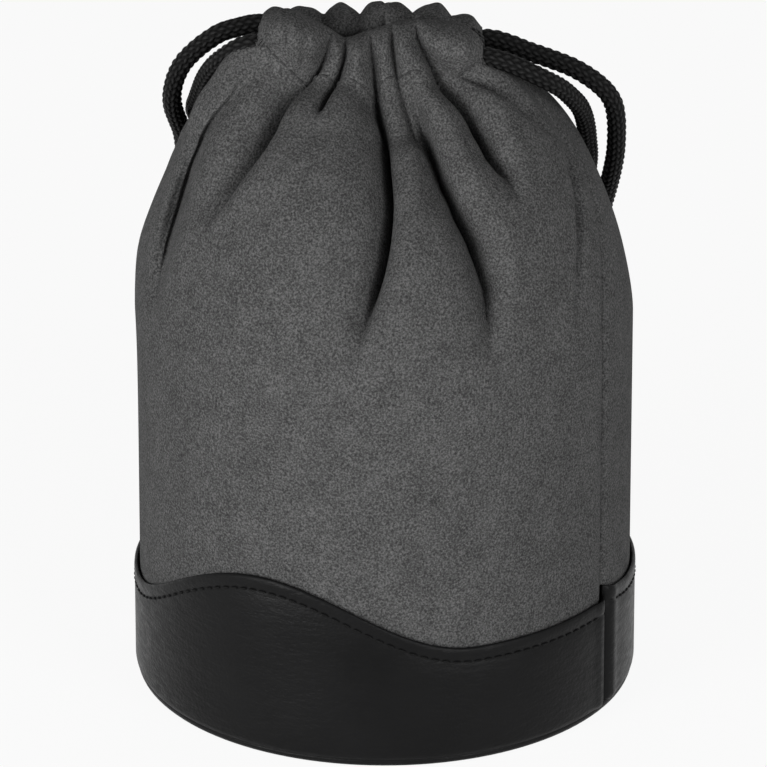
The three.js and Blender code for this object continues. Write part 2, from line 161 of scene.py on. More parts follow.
def make_leather():
    material, nodes, links, surface = new_material("black_leather", {"Specular IOR Level": 0.10})
    place = nodes.new("ShaderNodeTexCoord").outputs["Object"]
    pebbles = nodes.new("ShaderNodeTexVoronoi")
    set_sockets(pebbles, {"Scale": PEBBLE_SCALE, "Randomness": 0.95})
    links.new(place, pebbles.inputs["Vector"])
    stretch = nodes.new("ShaderNodeMapping")
    stretch.inputs["Scale"].default_value = (1.0, 1.0, CREASE_FLATTENING)
    links.new(place, stretch.inputs["Vector"])
    creases = noise_node(nodes, links, stretch.outputs["Vector"], CREASE_SCALE, 5.0, 0.6)
    broad = noise_node(nodes, links, place, TONE_SCALE, 2.0)
    tone = ramp_node(nodes, links, broad, [(0.3, LEATHER_DARK), (0.72, LEATHER_LIGHT)])
    links.new(tone, surface.inputs["Base Color"])
    polish = ramp_node(nodes, links, creases, [(0.3, grey(LEATHER_POLISHED)), (0.7, grey(LEATHER_DULL))])
    links.new(polish, surface.inputs["Roughness"])
    wrinkled = bump_node(nodes, links, creases, 0.35, 0.0006)
    grained = bump_node(nodes, links, pebbles.outputs["Distance"], 0.16, 0.0003, wrinkled)
    links.new(grained, surface.inputs["Normal"])
    return material


leather = make_leather()
base_outline = [
    (0.0, 0.00035), (0.030, 0.00035), (0.050, 0.00030), (0.0545, 0.00020), (0.0562, 0.00055),
]
for step in range(9):
    angle = math.radians(-110 + step * 25)
    base_outline.append((
        BASE_RIM_RADIUS + BASE_BEAD * math.cos(angle),
        BASE_BEAD + BASE_BEAD * math.sin(angle),
    ))
base_outline += [(0.0568, BASE_TOP), (0.0, BASE_TOP)]
finish_piece("base_leather", spun(base_outline), leather, "pouch", ["base_disc"])

# Base board. A stiff disc of pressed fibre that keeps the floor of the pouch flat.
# It lies loose between the leather and the pad, so the solid itself stays and takes a fibre finish.


def make_mottle():
    group = bpy.data.node_groups.new("fibre_mottle", "ShaderNodeTree")
    group.interface.new_socket("Vector", in_out="INPUT", socket_type="NodeSocketVector")
    for name in ("Fine Scale", "Broad Scale", "Broad Share"):
        group.interface.new_socket(name, in_out="INPUT", socket_type="NodeSocketFloat")
    for name in ("Mottle", "Fibres"):
        group.interface.new_socket(name, in_out="OUTPUT", socket_type="NodeSocketFloat")
    nodes, links = group.nodes, group.links
    entry = nodes.new("NodeGroupInput")
    leave = nodes.new("NodeGroupOutput")
    fine = noise_node(nodes, links, entry.outputs["Vector"], 1.0, 3.0, 0.62)
    broad = noise_node(nodes, links, entry.outputs["Vector"], 1.0, 2.0, 0.5)
    links.new(entry.outputs["Fine Scale"], fine.node.inputs["Scale"])
    links.new(entry.outputs["Broad Scale"], broad.node.inputs["Scale"])
    both = nodes.new("ShaderNodeMix")
    links.new(entry.outputs["Broad Share"], both.inputs["Factor"])
    links.new(fine, both.inputs["A"])
    links.new(broad, both.inputs["B"])
    links.new(both.outputs["Result"], leave.inputs["Mottle"])
    links.new(fine, leave.inputs["Fibres"])
    return group


fibre_mottle = make_mottle()


def make_fibrous(name, stops, fine, broad, share, roughness, bump, depth, sheen=0.0):
    material, nodes, links, surface = new_material(name, {
        "Roughness": roughness, "Specular IOR Level": 0.06, "Sheen Weight": sheen, "Sheen Roughness": 0.6,
    })
    place = nodes.new("ShaderNodeTexCoord").outputs["Object"]
    mottle = nodes.new("ShaderNodeGroup")
    mottle.node_tree = fibre_mottle
    set_sockets(mottle, {"Fine Scale": fine, "Broad Scale": broad, "Broad Share": share})
    links.new(place, mottle.inputs["Vector"])
    colour = ramp_node(nodes, links, mottle.outputs["Mottle"], stops)
    links.new(colour, surface.inputs["Base Color"])
    links.new(bump_node(nodes, links, mottle.outputs["Fibres"], bump, depth), surface.inputs["Normal"])
    return material


board_fibre = make_fibrous(
    "pressed_fibre", [(0.3, (0.11, 0.10, 0.085)), (0.7, (0.20, 0.18, 0.155))],
    fine=900.0, broad=90.0, share=0.4, roughness=0.9, bump=0.3, depth=0.0003,
)
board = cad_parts["base_board"]
board.data.materials.clear()
board.data.materials.append(board_fibre)

# Base pad. A disc of soft foam that cushions the lens, a little crowned and round at its edge.
# It lies on the board inside the suede wall.
PAD_BOTTOM = 0.0046
PAD_TOP = 0.0096
PAD_RADIUS = 0.0570
PAD_EDGE_ROUND = 0.0022
PAD_EDGE_HALF_HEIGHT = 0.0023

foam = make_fibrous(
    "grey_foam", [(0.3, (0.055, 0.056, 0.060)), (0.7, (0.115, 0.117, 0.124))],
    fine=1400.0, broad=250.0, share=0.3, roughness=1.0, bump=0.6, depth=0.0004,
)
pad_outline = [(0.0, PAD_BOTTOM), (0.048, PAD_BOTTOM), (0.0545, PAD_BOTTOM + 0.0002)]
for step in range(7):
    angle = math.radians(-70 + step * 25)
    pad_outline.append((
        PAD_RADIUS - PAD_EDGE_ROUND + PAD_EDGE_ROUND * math.cos(angle),
        (PAD_BOTTOM + PAD_TOP - 0.0004) / 2 + PAD_EDGE_HALF_HEIGHT * math.sin(angle),
    ))
pad_outline += [(0.050, PAD_TOP - 0.0002), (0.030, PAD_TOP), (0.0, PAD_TOP + 0.0001)]
pad = finish_piece("base_foam_pad", spun(pad_outline), foam, "pouch", ["base_pad"])

# Floor lining. A disc of dark brushed cloth laid over the pad.
# Its edge is turned down a little against the wall.
LINING_RADIUS = 0.0571
LINING_BOTTOM = 0.0099
LINING_TOP = 0.0109

lining_cloth = make_fibrous(
    "brushed_lining", [(0.3, (0.026, 0.026, 0.028)), (0.7, (0.052, 0.052, 0.055))],
    fine=1500.0, broad=120.0, share=0.35, roughness=0.95, bump=0.5, depth=0.0003, sheen=0.2,
)
lining_outline = [
    (0.0, LINING_BOTTOM), (0.052, LINING_BOTTOM), (0.0562, LINING_BOTTOM - 0.0003),
    (LINING_RADIUS - 0.0002, LINING_BOTTOM - 0.0004), (LINING_RADIUS, LINING_BOTTOM),
    (LINING_RADIUS - 0.0003, LINING_TOP - 0.0004), (0.0560, LINING_TOP - 0.0002),
    (0.052, LINING_TOP), (0.0, LINING_TOP),
]
lining = finish_piece(
    "floor_cloth", spun(lining_outline), lining_cloth, "pouch", ["floor_lining"],
)

# Leather band. Two strips of the same leather wrapped round the foot of the body and sewn at the side seams.
# The front strip rises in a wave. The ends are turned in at the seams, and the lower edge rolls under.
BAND_RADIUS = 0.0600
BAND_WALL = 0.0010
BAND_LOW = 0.0010
BAND_ROLL = 0.0022
BAND_COLUMNS = 150
FRONT_BAND_HEIGHT = 0.0295
FRONT_BAND_WAVE = 0.0163
WAVE_SPREAD = math.radians(50)
FRONT_BAND_DROP = 0.0028
DROP_FROM = math.radians(20)
DROP_TO = math.radians(60)
BACK_BAND_HEIGHT = 0.0276
BACK_BAND_LIFT = 0.0048
BACK_LIFT_SPREAD = 0.22
SEAM_TUCK = 0.0013
TUCK_SPREAD = 0.0011
SEAM_RIDGE = 0.00045
RIDGE_FROM_END = 0.0030
RIDGE_SPREAD = 0.0018
STITCH_DROP = 0.0036


def front_band_top(angle):
    share = min(abs(angle) / WAVE_SPREAD, 1.0)
    to_left = min(max((-angle - DROP_FROM) / (DROP_TO - DROP_FROM), 0.0), 1.0)
    drop = FRONT_BAND_DROP * to_left * to_left * (3.0 - 2.0 * to_left)
    return FRONT_BAND_HEIGHT + FRONT_BAND_WAVE * math.cos(share * math.pi / 2) ** 2 - drop


def back_band_top(angle):
    from_seam = math.pi / 2 - abs(angle)
    return BACK_BAND_HEIGHT + BACK_BAND_LIFT * math.exp(-from_seam / BACK_LIFT_SPREAD)


def on_round(radius, angle, height):
    return Vector((radius * math.cos(angle), radius * math.sin(angle), height))


def band_section(top):
    roll = BAND_ROLL
    outline = [(-0.0016, BAND_LOW + 0.0004)]
    for step in range(6):
        angle = math.radians(-90 + step * 18)
        outline.append((-roll + roll * math.cos(angle), BAND_LOW + roll + roll * math.sin(angle)))
    body_low = BAND_LOW + roll
    row = top - STITCH_DROP
    for share in (0.2, 0.4, 0.6, 0.8):
        outline.append((0.0, body_low + share * (row - 0.0010 - body_low)))
    outline += [
        (0.0, row - 0.0008), (-0.00016, row - 0.0003), (-0.00022, row),
        (-0.00014, row + 0.0004), (0.00008, row + 0.0010), (0.00010, top - 0.0012),
        (0.00004, top - 0.0005), (-0.00015, top - 0.00015), (-0.00050, top),
        (-0.00085, top - 0.00020), (-BAND_WALL, top - 0.0006), (-BAND_WALL, top - 0.006),
        (-BAND_WALL, 0.016), (-BAND_WALL, 0.006), (-0.0016, BAND_LOW + 0.0012),
    ]
    return outline


def grid_mesh(columns, rows, place):
    bm = bmesh.new()
    bmesh.ops.create_grid(bm, x_segments=columns, y_segments=rows, size=0.5)
    for vert in bm.verts:
        column = round((vert.co.x + 0.5) * columns)
        row = round((vert.co.y + 0.5) * rows)
        vert.co = place(column, row)
    return bm


def band_mesh(middle, top_at):
    section_rows = len(band_section(FRONT_BAND_HEIGHT))
    half = math.pi / 2

    def place(column, row):
        turn = -half + math.pi * column / BAND_COLUMNS
        offset, height = band_section(top_at(turn))[row % section_rows]
        from_end = (half - abs(turn)) * BAND_RADIUS
        tucked = SEAM_TUCK * math.exp(-(from_end / TUCK_SPREAD) ** 2)
        ridge = SEAM_RIDGE * math.exp(-((from_end - RIDGE_FROM_END) / RIDGE_SPREAD) ** 2)
        radius = BAND_RADIUS + offset - tucked + ridge
        return on_round(radius, middle + turn, height)

    return close_mesh(grid_mesh(BAND_COLUMNS, section_rows, place))


BANDS = {"front": (-math.pi / 2, front_band_top), "back": (math.pi / 2, back_band_top)}
for band, facing in BANDS.items():
    finish_piece(
        f"leather_band_{band}", band_mesh(*facing), leather, "pouch", [f"band_{band}"],
    )

# Band stitching. One row of black polyester lockstitch below the upper edge holds the band to the suede.
# Each stitch is a short plump length of thread that sinks into the leather at both ends.
STITCH_PITCH = 0.0026
STITCH_HALF_LENGTH = 0.00105
STITCH_HALF_WIDTH = 0.00030
STITCH_SINK = 0.00008
SEAM_MARGIN = 0.025
HALF_STITCH_TURN = 0.008

thread = make_fibrous(
    "black_thread", [(0.3, grey(0.004)), (0.7, grey(0.012))],
    fine=2500.0, broad=400.0, share=0.3, roughness=0.6, bump=0.3, depth=0.0001,
)


def add_stitch(bm, centre, along, outwards):
    across = outwards.cross(along).normalized()
    out = along.cross(across).normalized()
    turn = Matrix((along.normalized(), across, out)).transposed().to_4x4()
    size = Matrix.Diagonal((STITCH_HALF_LENGTH, STITCH_HALF_WIDTH, STITCH_HALF_WIDTH, 1.0))
    bmesh.ops.create_uvsphere(
        bm, u_segments=8, v_segments=6, radius=1.0, matrix=Matrix.Translation(centre) @ turn @ size,
    )


def band_stitches(middle, top_at):
    bm = bmesh.new()
    sewn_turn = math.pi - 2 * SEAM_MARGIN
    count = int(sewn_turn * BAND_RADIUS / STITCH_PITCH)

    def on_row(angle):
        return on_round(BAND_RADIUS - STITCH_SINK, middle + angle, top_at(angle) - STITCH_DROP)

    for index in range(count):
        turn = -math.pi / 2 + SEAM_MARGIN + sewn_turn * (index + 0.5) / count
        along = on_row(turn + HALF_STITCH_TURN) - on_row(turn - HALF_STITCH_TURN)
        add_stitch(bm, on_row(turn), along, on_round(1.0, middle + turn, 0.0))
    return bm


for band, facing in BANDS.items():
    finish_piece(f"band_stitches_{band}", band_stitches(*facing), thread, "pouch")

# Suede panels. Two pieces of soft grey imitation suede, sewn together at the sides. The upper edge of each
# is turned in and sewn down as a tunnel. The cords gather it into deep pleats that fan down the shoulder.
# Shapes are in millimetres along the mouth, across it to the back, and up.
MM = 0.001
BODY_RADIUS_MM = 58.7
SEWN_EDGE_MM = 2.3
SHOULDER_MM = 92.0
BODY_TOP_MM = 151.5
MOUTH_HALF_LENGTH_MM = 27.0
MOUTH_HALF_DEPTH_MM = 11.3
MOUTH_SHIFT_MM = -3.0
RIM_MM = 165.0
SUEDE_WALL = 0.0009
PANEL_COLUMNS = 270
FOOT_ROWS = 34
SHOULDER_STEP_MM = 0.95
TUNNEL_ROWS = 12
TURN_ROWS = 14
INSIDE_ROWS = 8
LINES_APART = 0.028
CROWDED_AT_MM = 142.0
TUNNEL_LEFT_MM = -29.6
TUNNEL_RIGHT_MM = 22.8
VALLEY_OUTSIDE_MM = 11.0
VALLEY_INSIDE_MM = 2.8
LOBE_OUT_MM = 4.4
LOBE_IN_MM = 1.6
DEEPEST_IN_TUNNEL_MM = 3.2
END_PINCH_MM = 6.0
CORD_DEEP_MM = 7.4
CORDS_MIDDLE_MM = 158.4
RIM_ROUND_MM = 3.6
FOOT_NARROWING = 0.10
PINCHED_SHARE = 0.60
PUCKER_MM = 0.45
FINE_PUCKER_MM = 0.32
NECK_LIFT_MM = 1.4
NECK_RISE_MM = 3.0
LEFT_RISE_MM = 3.8
WRINKLE_MM = 0.35
SLACK_MM = 0.30
SEAM_GROOVE_MM = 1.1
SEAM_GROOVE_WIDTH_MM = 1.1
SEAM_HOLD_MM = 5.0
SEAM_COLUMNS = 5.0
CORD_DENT_MM = 1.3
EASED_ROWS = 8.0
EASING_PASSES = 40

# Each crease has a soft and a steep side. The cloth hangs over the steep side and stands up as a lip there.
EDGE_CREASE_MM = 1.1
STEEP_SIDE_MM = 0.85
SOFT_SIDE_SHARE = 0.42
OVERHANG, OVERHANG_AT_MM, OVERHANG_SPREAD_MM = 0.28, 1.7, 1.6
LIP, LIP_AT_MM, LIP_SPREAD_MM = 0.16, 3.4, 2.0

# Broad forms of the cloth: how far it stands out, share of the width from the left end and its spread,
# height and its spread.
LEFT_EDGE_FORM = (1.7, 0.11, 0.07, 107.0, 15.0)
RIGHT_NECK_FORM = (-1.3, 1.0, 0.08, 138.0, 7.0)
FRONT_BULGE_FORM = (2.9, 0.10, 0.07, 144.5, 6.5)
FRONT_RISE_FORM = (3.4, 0.10, 0.07, 151.0, 3.2)

# Each pleat runs down from the rim: height, share of the panel's width from its left seam seen from outside,
# depth, and depth of the sharp crease along its middle. Left and right are how far the cloth falls away.
# The fold at the left edge is seen from its side, so its cloth lies straight back.
EDGE_FOLD = [
    (151.5, 0.168, 0, 0), (150, 0.174, 0.6, 1.4), (147.1, 0.178, 1.0, 2.6), (143.9, 0.175, 1.6, 3.0),
    (139.5, 0.173, 3.0, 3.4), (133.8, 0.184, 6.4, 3.4), (128.2, 0.204, 9.0, 3.4), (121, 0.225, 9.6, 3.2),
    (113.6, 0.245, 8.2, 2.6), (108.7, 0.259, 6.0, 1.6), (101, 0.272, 2.6, 0), (92, 0.28, 0, 0),
]
FRONT_PLEATS = [
    (6.6, 2.0, EDGE_FOLD),
    (7.0, 3.0, [(165, 0.352, 2, 3), (157.6, 0.314, 2.4, 5), (151.5, 0.296, 4, 8), (149.3, 0.290, 5.8, 9),
                (147, 0.297, 6.4, 9.4), (143.8, 0.298, 6.6, 9.4), (139, 0.291, 5.6, 8), (135, 0.284, 4.0, 6),
                (131, 0.279, 2.0, 2.4), (125, 0.28, 0, 0)]),
    (2.6, 2.2, [(165, 0.410, 2, 2), (160, 0.392, 2, 3.4), (151.5, 0.380, 2.8, 5.4), (150, 0.377, 2.6, 4.6),
                (148.6, 0.374, 0, 0)]),
    (8.0, 3.0, [(165, 0.498, 2, 3), (160, 0.508, 3, 5), (151.5, 0.535, 6, 9), (149.3, 0.556, 7, 11),
                (147.5, 0.562, 7, 11.4), (143.3, 0.567, 6.6, 11.4), (136, 0.579, 7, 10.6),
                (130, 0.586, 6.4, 10), (118, 0.594, 4.4, 5.4), (110, 0.600, 2.4, 2.0), (101, 0.606, 0, 0)]),
    (2.2, 2.0, [(165, 0.569, 2, 1.2), (151.5, 0.594, 2, 2.6), (149, 0.604, 2, 2.8), (145, 0.615, 0, 0)]),
    (9.0, 3.0, [(151.5, 0.622, 0, 0), (149.5, 0.636, 2, 6), (147.5, 0.650, 4.6, 9), (141.3, 0.668, 7, 9.6),
                (133.5, 0.701, 8, 8.6), (126.5, 0.737, 7.6, 7.4), (116, 0.773, 5, 4.4), (100, 0.795, 0, 0)]),
    (6.4, 3.0, [(165, 0.651, 2, 2.4), (160, 0.690, 2.4, 4), (155, 0.732, 2.8, 6), (151.5, 0.753, 3, 7),
                (149.3, 0.772, 4.6, 8), (147.5, 0.771, 5.2, 8), (142.6, 0.775, 5.2, 6.4),
                (138, 0.783, 2.6, 2.4), (132, 0.788, 0, 0)]),
    (2.6, 2.2, [(159, 0.715, 0, 0), (156, 0.755, 1.4, 3.0), (153, 0.800, 2.0, 4.5), (151.5, 0.825, 2.4, 5.0),
                (149.3, 0.868, 2.6, 5.0), (147.8, 0.884, 2.4, 4.0), (146, 0.908, 1.8, 2.4),
                (141, 0.915, 0, 0)]),
    (2.0, 1.6, [(136, 0.945, 0, 0), (133, 0.945, 1.2, 1.8), (126, 0.935, 1.4, 2.0), (116, 0.930, 1.0, 1.0),
                (104, 0.930, 0, 0)]),
]
BACK_PLEATS = [
    (5.0, 4.0, [(165, 0.20, 2, 1), (151.5, 0.18, 3, 2), (144, 0.175, 4.4, 3), (132, 0.17, 2.6, 1),
                (120, 0.17, 0, 0)]),
    (3.0, 6.0, [(165, 0.35, 2, 1), (151.5, 0.345, 3.2, 4), (142, 0.34, 6.4, 7), (128, 0.342, 5.6, 5),
                (112, 0.35, 2.4, 1), (100, 0.355, 0, 0)]),
    (2.4, 2.0, [(165, 0.445, 2, 1), (151.5, 0.44, 2.4, 3), (146, 0.43, 2, 2), (139, 0.42, 0, 0)]),
    (6.0, 3.0, [(165, 0.53, 2, 1), (151.5, 0.53, 3.2, 5), (140, 0.53, 7, 8), (126, 0.525, 6.4, 6),
                (112, 0.515, 3, 1.4), (98, 0.51, 0, 0)]),
    (3.0, 6.0, [(165, 0.65, 2, 1), (151.5, 0.66, 3.2, 4), (142, 0.67, 6.4, 7), (128, 0.665, 5.6, 5),
                (112, 0.655, 2.4, 1), (102, 0.65, 0, 0)]),
    (4.0, 5.0, [(165, 0.78, 2, 1), (151.5, 0.80, 3, 2), (143, 0.82, 4.4, 3), (130, 0.825, 2.6, 1),
                (116, 0.825, 0, 0)]),
]
# Small creases on the lobes of the tunnel: share of the panel's width, depth and spread.
FRONT_CREASES = [(0.17, 0.7, 1.2), (0.26, 0.5, 1.0), (0.45, 0.4, 0.9), (0.76, 1.0, 1.3), (0.83, 0.6, 1.1)]
BACK_CREASES = [(0.14, 0.6, 1.2), (0.27, 0.7, 1.0), (0.40, 0.6, 0.9), (0.60, 0.8, 1.0), (0.86, 0.8, 1.4)]
# How high the rim stands: share of the panel's width and height.
FRONT_RIM = [
    (0.0, 163.5), (0.045, 166.2), (0.10, 168.2), (0.166, 169.8), (0.21, 169.8), (0.255, 168.8), (0.34, 165.4),
    (0.406, 162.2), (0.457, 163.4), (0.498, 164.2), (0.54, 165.4), (0.593, 166.5), (0.654, 167.2),
    (0.747, 167.0), (0.82, 166.0), (0.888, 164.2), (0.95, 162.6), (1.0, 161.4),
]
BACK_RIM = [
    (0.0, 159.8), (0.10, 162.2), (0.17, 162.6), (0.205, 163.2), (0.26, 165.4), (0.35, 163.6), (0.40, 165.6),
    (0.455, 166.2), (0.50, 165.4), (0.53, 163.2), (0.585, 165.2), (0.62, 165.0), (0.66, 162.9), (0.72, 164.2),
    (0.78, 164.4), (0.85, 164.2), (0.92, 163.4), (1.0, 161.4),
]
# Where each share of the panel's width lies along the tunnel, so that the pleats run straight up into it.
TUNNEL_SHARES = [0.0, 0.09, 0.253, 0.372, 0.50, 0.592, 0.714, 0.821, 0.91, 1.0]
TUNNEL_PLACES = [TUNNEL_LEFT_MM, -27.6, -19.9, -11.8, -3.0, 3.3, 11.6, 18.6, 21.4, TUNNEL_RIGHT_MM]


def body_section(height):
    rise = min(max((height - SHOULDER_MM) / (BODY_TOP_MM - SHOULDER_MM), 0.0), 1.0)
    fullness = (1.0 - rise ** 1.5) ** 0.6
    turn = MOUTH_TURN * (1.0 - rise * rise * (3.0 - 2.0 * rise))
    half_length = MOUTH_HALF_LENGTH_MM + (BODY_RADIUS_MM - MOUTH_HALF_LENGTH_MM) * fullness
    half_depth = MOUTH_HALF_DEPTH_MM + (BODY_RADIUS_MM - MOUTH_HALF_DEPTH_MM) * fullness
    power = 2.0 / (2.0 + 2.0 * rise ** 4)
    return half_length, half_depth, MOUTH_SHIFT_MM * (1.0 - fullness), turn, power


def way_along(points):
    return np.concatenate([[0.0], np.cumsum(np.linalg.norm(np.diff(points, axis=0), axis=1))])


def body_row(height, start_angle, shares):
    half_length, half_depth, shift, turn, power = body_section(height)
    angle = start_angle - turn + np.linspace(0.0, math.pi, 901)
    along = shift + half_length * np.sign(np.cos(angle)) * np.abs(np.cos(angle)) ** power
    deep = half_depth * np.sign(np.sin(angle)) * np.abs(np.sin(angle)) ** power
    travelled = way_along(np.stack([along, deep], axis=1))
    where = shares * travelled[-1]
    return np.interp(where, travelled, along), np.interp(where, travelled, deep), travelled[-1]


def shoulder_heights(step):
    fine = np.linspace(SHOULDER_MM, BODY_TOP_MM, 1500)
    depth = np.array([body_section(height)[1] for height in fine])
    travelled = way_along(np.stack([fine, depth], axis=1))
    count = int(travelled[-1] / step)
    return np.interp(np.linspace(0.0, travelled[-1], count + 1), travelled, fine)


def ease(value, low, high):
    share = np.clip((value - low) / (high - low), 0.0, 1.0)
    return share * share * (3.0 - 2.0 * share)


def bell(value, centre, spread):
    return np.exp(-((value - centre) / spread) ** 2)


def broad_form(values, across, levels):
    amount, place, spread, level, reach = values
    return amount * bell(across, place, spread) * bell(levels, level, reach)


def pleat_at(path, height):
    table = np.array(sorted(path))
    share, depth, crease = (np.interp(height, table[:, 0], table[:, k]) for k in (1, 2, 3))
    reaches = 1.0 if height <= table[-1, 0] + 0.01 else 0.0
    return share, depth * reaches, crease * reaches


def pleat_lines(pleats, height):
    """Where the middles of the pleats lie at one height, kept in order and a little apart."""
    lines = [0.0]
    for _, _, path in pleats:
        lines.append(max(float(pleat_at(path, height)[0]), lines[-1] + LINES_APART))
    return lines + [1.0]


def column_shares(pleats, height):
    """The panel's columns at one height. They follow the pleats and crowd together along them."""
    reference = pleat_lines(pleats, CROWDED_AT_MM)
    fine = np.linspace(0.0, 1.0, 2001)
    crowding = np.ones_like(fine)
    for line in reference[1:-1]:
        crowding += 2.2 * bell(fine - 0.003, line, 0.020)
    travelled = np.concatenate([[0.0], np.cumsum((crowding[1:] + crowding[:-1]) / 2)])
    columns = np.interp(np.linspace(0.0, travelled[-1], PANEL_COLUMNS + 1), travelled, fine)
    return np.interp(columns, reference, pleat_lines(pleats, height))


def in_tunnel(shares):
    return np.interp(shares, TUNNEL_SHARES, TUNNEL_PLACES)


def tunnel_section(shares, height, pleats, creases):
    """How far the tunnel's cloth stands out and in from the middle of the mouth, at one height."""
    partings = [float(pleat_at(path, height)[0]) for _, _, path in pleats if path[0][0] >= RIM_MM]
    along = in_tunnel(shares)
    edges = in_tunnel([0.0] + partings + [1.0])
    outer = np.full_like(shares, VALLEY_OUTSIDE_MM)
    inner = np.full_like(shares, VALLEY_INSIDE_MM)
    for left, right in zip(edges, edges[1:]):
        within = np.clip((along - left) / (right - left), 0.0, 1.0)
        arch = np.sin(math.pi * within) ** 0.7
        outer += min(LOBE_OUT_MM, 0.50 * (right - left)) * arch
        inner -= min(LOBE_IN_MM, 0.35 * (right - left)) * arch
    for left, _, path in pleats:
        share, _, crease = pleat_at(path, height)
        offset = along - in_tunnel(share)
        outer -= min(crease, DEEPEST_IN_TUNNEL_MM) * np.exp(-np.abs(offset / (0.35 * left)) ** 1.6)
    for place, depth, spread in creases:
        offset = along - in_tunnel(place)
        outer -= depth * np.exp(-np.abs((offset - 0.25 * (height - CORDS_MIDDLE_MM)) / spread) ** 1.4)
    outer += PUCKER_MM * np.sin(0.9 * along + 0.55 * height) * np.sin(0.5 * height - 0.35 * along + 1.0)
    outer += FINE_PUCKER_MM * np.sin(1.5 * along - 0.9 * height + 0.6) * np.sin(0.35 * along + 0.8 * height)
    return outer, inner


def body_surface(heights, shares, start_angle, side, pleats):
    body, lengths = [], []
    for height, row_shares in zip(heights, shares):
        along, deep, length = body_row(height, start_angle, row_shares)
        body.append(np.stack([along, deep, np.full_like(along, height)], axis=1))
        lengths.append(length)
    body = np.array(body)
    lengths = np.array(lengths)[:, None]
    levels = np.array(heights)[:, None]
    across = np.gradient(body, axis=1)
    across /= np.linalg.norm(across, axis=2, keepdims=True)
    upwards = np.gradient(body, axis=0)
    normals = np.cross(across, upwards)
    normals /= np.linalg.norm(normals, axis=2, keepdims=True)
    normals *= np.sign(np.sum(normals[10, :, 1]) * side)

    lift = np.zeros(shares.shape)
    slide = np.zeros(shares.shape)
    pressed = np.zeros(shares.shape)
    for left, right, path in pleats:
        middle, depth, crease = np.array([pleat_at(path, height) for height in heights]).T[:, :, None]
        offset = (shares - middle) * lengths
        spread = np.where(offset < 0, left, right)
        if path is EDGE_FOLD:
            pressed += depth * bell(offset, 0.0, spread) + crease * bell(offset, 0.0, EDGE_CREASE_MM)
            continue
        lift -= depth * np.exp(-np.abs(offset / spread) ** 1.5)
        steep = 1.0 if left >= right else -1.0
        towards = offset * steep
        side_width = np.where(towards < 0, SOFT_SIDE_SHARE * max(left, right), STEEP_SIDE_MM)
        lift -= crease * np.exp(-np.abs(towards / side_width) ** 1.25)
        slide -= steep * OVERHANG * crease * bell(towards, OVERHANG_AT_MM, OVERHANG_SPREAD_MM)
        lift += LIP * crease * bell(towards, LIP_AT_MM, LIP_SPREAD_MM)

    # Loose folds. They fade out at the seams, where the two panels are sewn together.
    from_seam = np.minimum(shares, 1.0 - shares) * lengths
    loose = 1.0 - bell(from_seam, 0.0, SEAM_HOLD_MM)
    from_left = shares if side < 0 else 1.0 - shares
    rise = ease(levels, SHOULDER_MM, BODY_TOP_MM)
    neck = ease(levels, 146.0, BODY_TOP_MM)
    wave = shares * lengths
    wrinkled = WRINKLE_MM * rise * np.sin(wave * 0.41 + levels * 0.13) * np.sin(levels * 0.21 + 1.3)
    slack = SLACK_MM * ease(levels, 30.0, 110.0) * np.sin(wave * 0.09 + 0.7) * np.sin(levels * 0.055 + side)
    lift += NECK_LIFT_MM * rise + loose * (wrinkled + slack)
    lift += broad_form(LEFT_EDGE_FORM, from_left, levels) + broad_form(RIGHT_NECK_FORM, from_left, levels)
    heave = LEFT_RISE_MM * bell(from_left, 0.06, 0.11) * ease(levels, 137.0, BODY_TOP_MM)
    heave += NECK_RISE_MM * neck
    if side < 0:
        lift += loose * broad_form(FRONT_BULGE_FORM, from_left, levels)
        heave += loose * broad_form(FRONT_RISE_FORM, from_left, levels)
    else:
        lain_on = ease(levels, 106.0, 118.0) * (1.0 - neck)
        lift -= CORD_DENT_MM * loose * bell(from_left, 0.10, 0.06) * lain_on
    lift -= SEAM_GROOVE_MM * np.exp(-(from_seam / SEAM_GROOVE_WIDTH_MM) ** 1.3)
    body += normals * lift[:, :, None] + across * slide[:, :, None]
    body[:, :, 1] += pressed
    body[:, :, 2] += heave
    return body


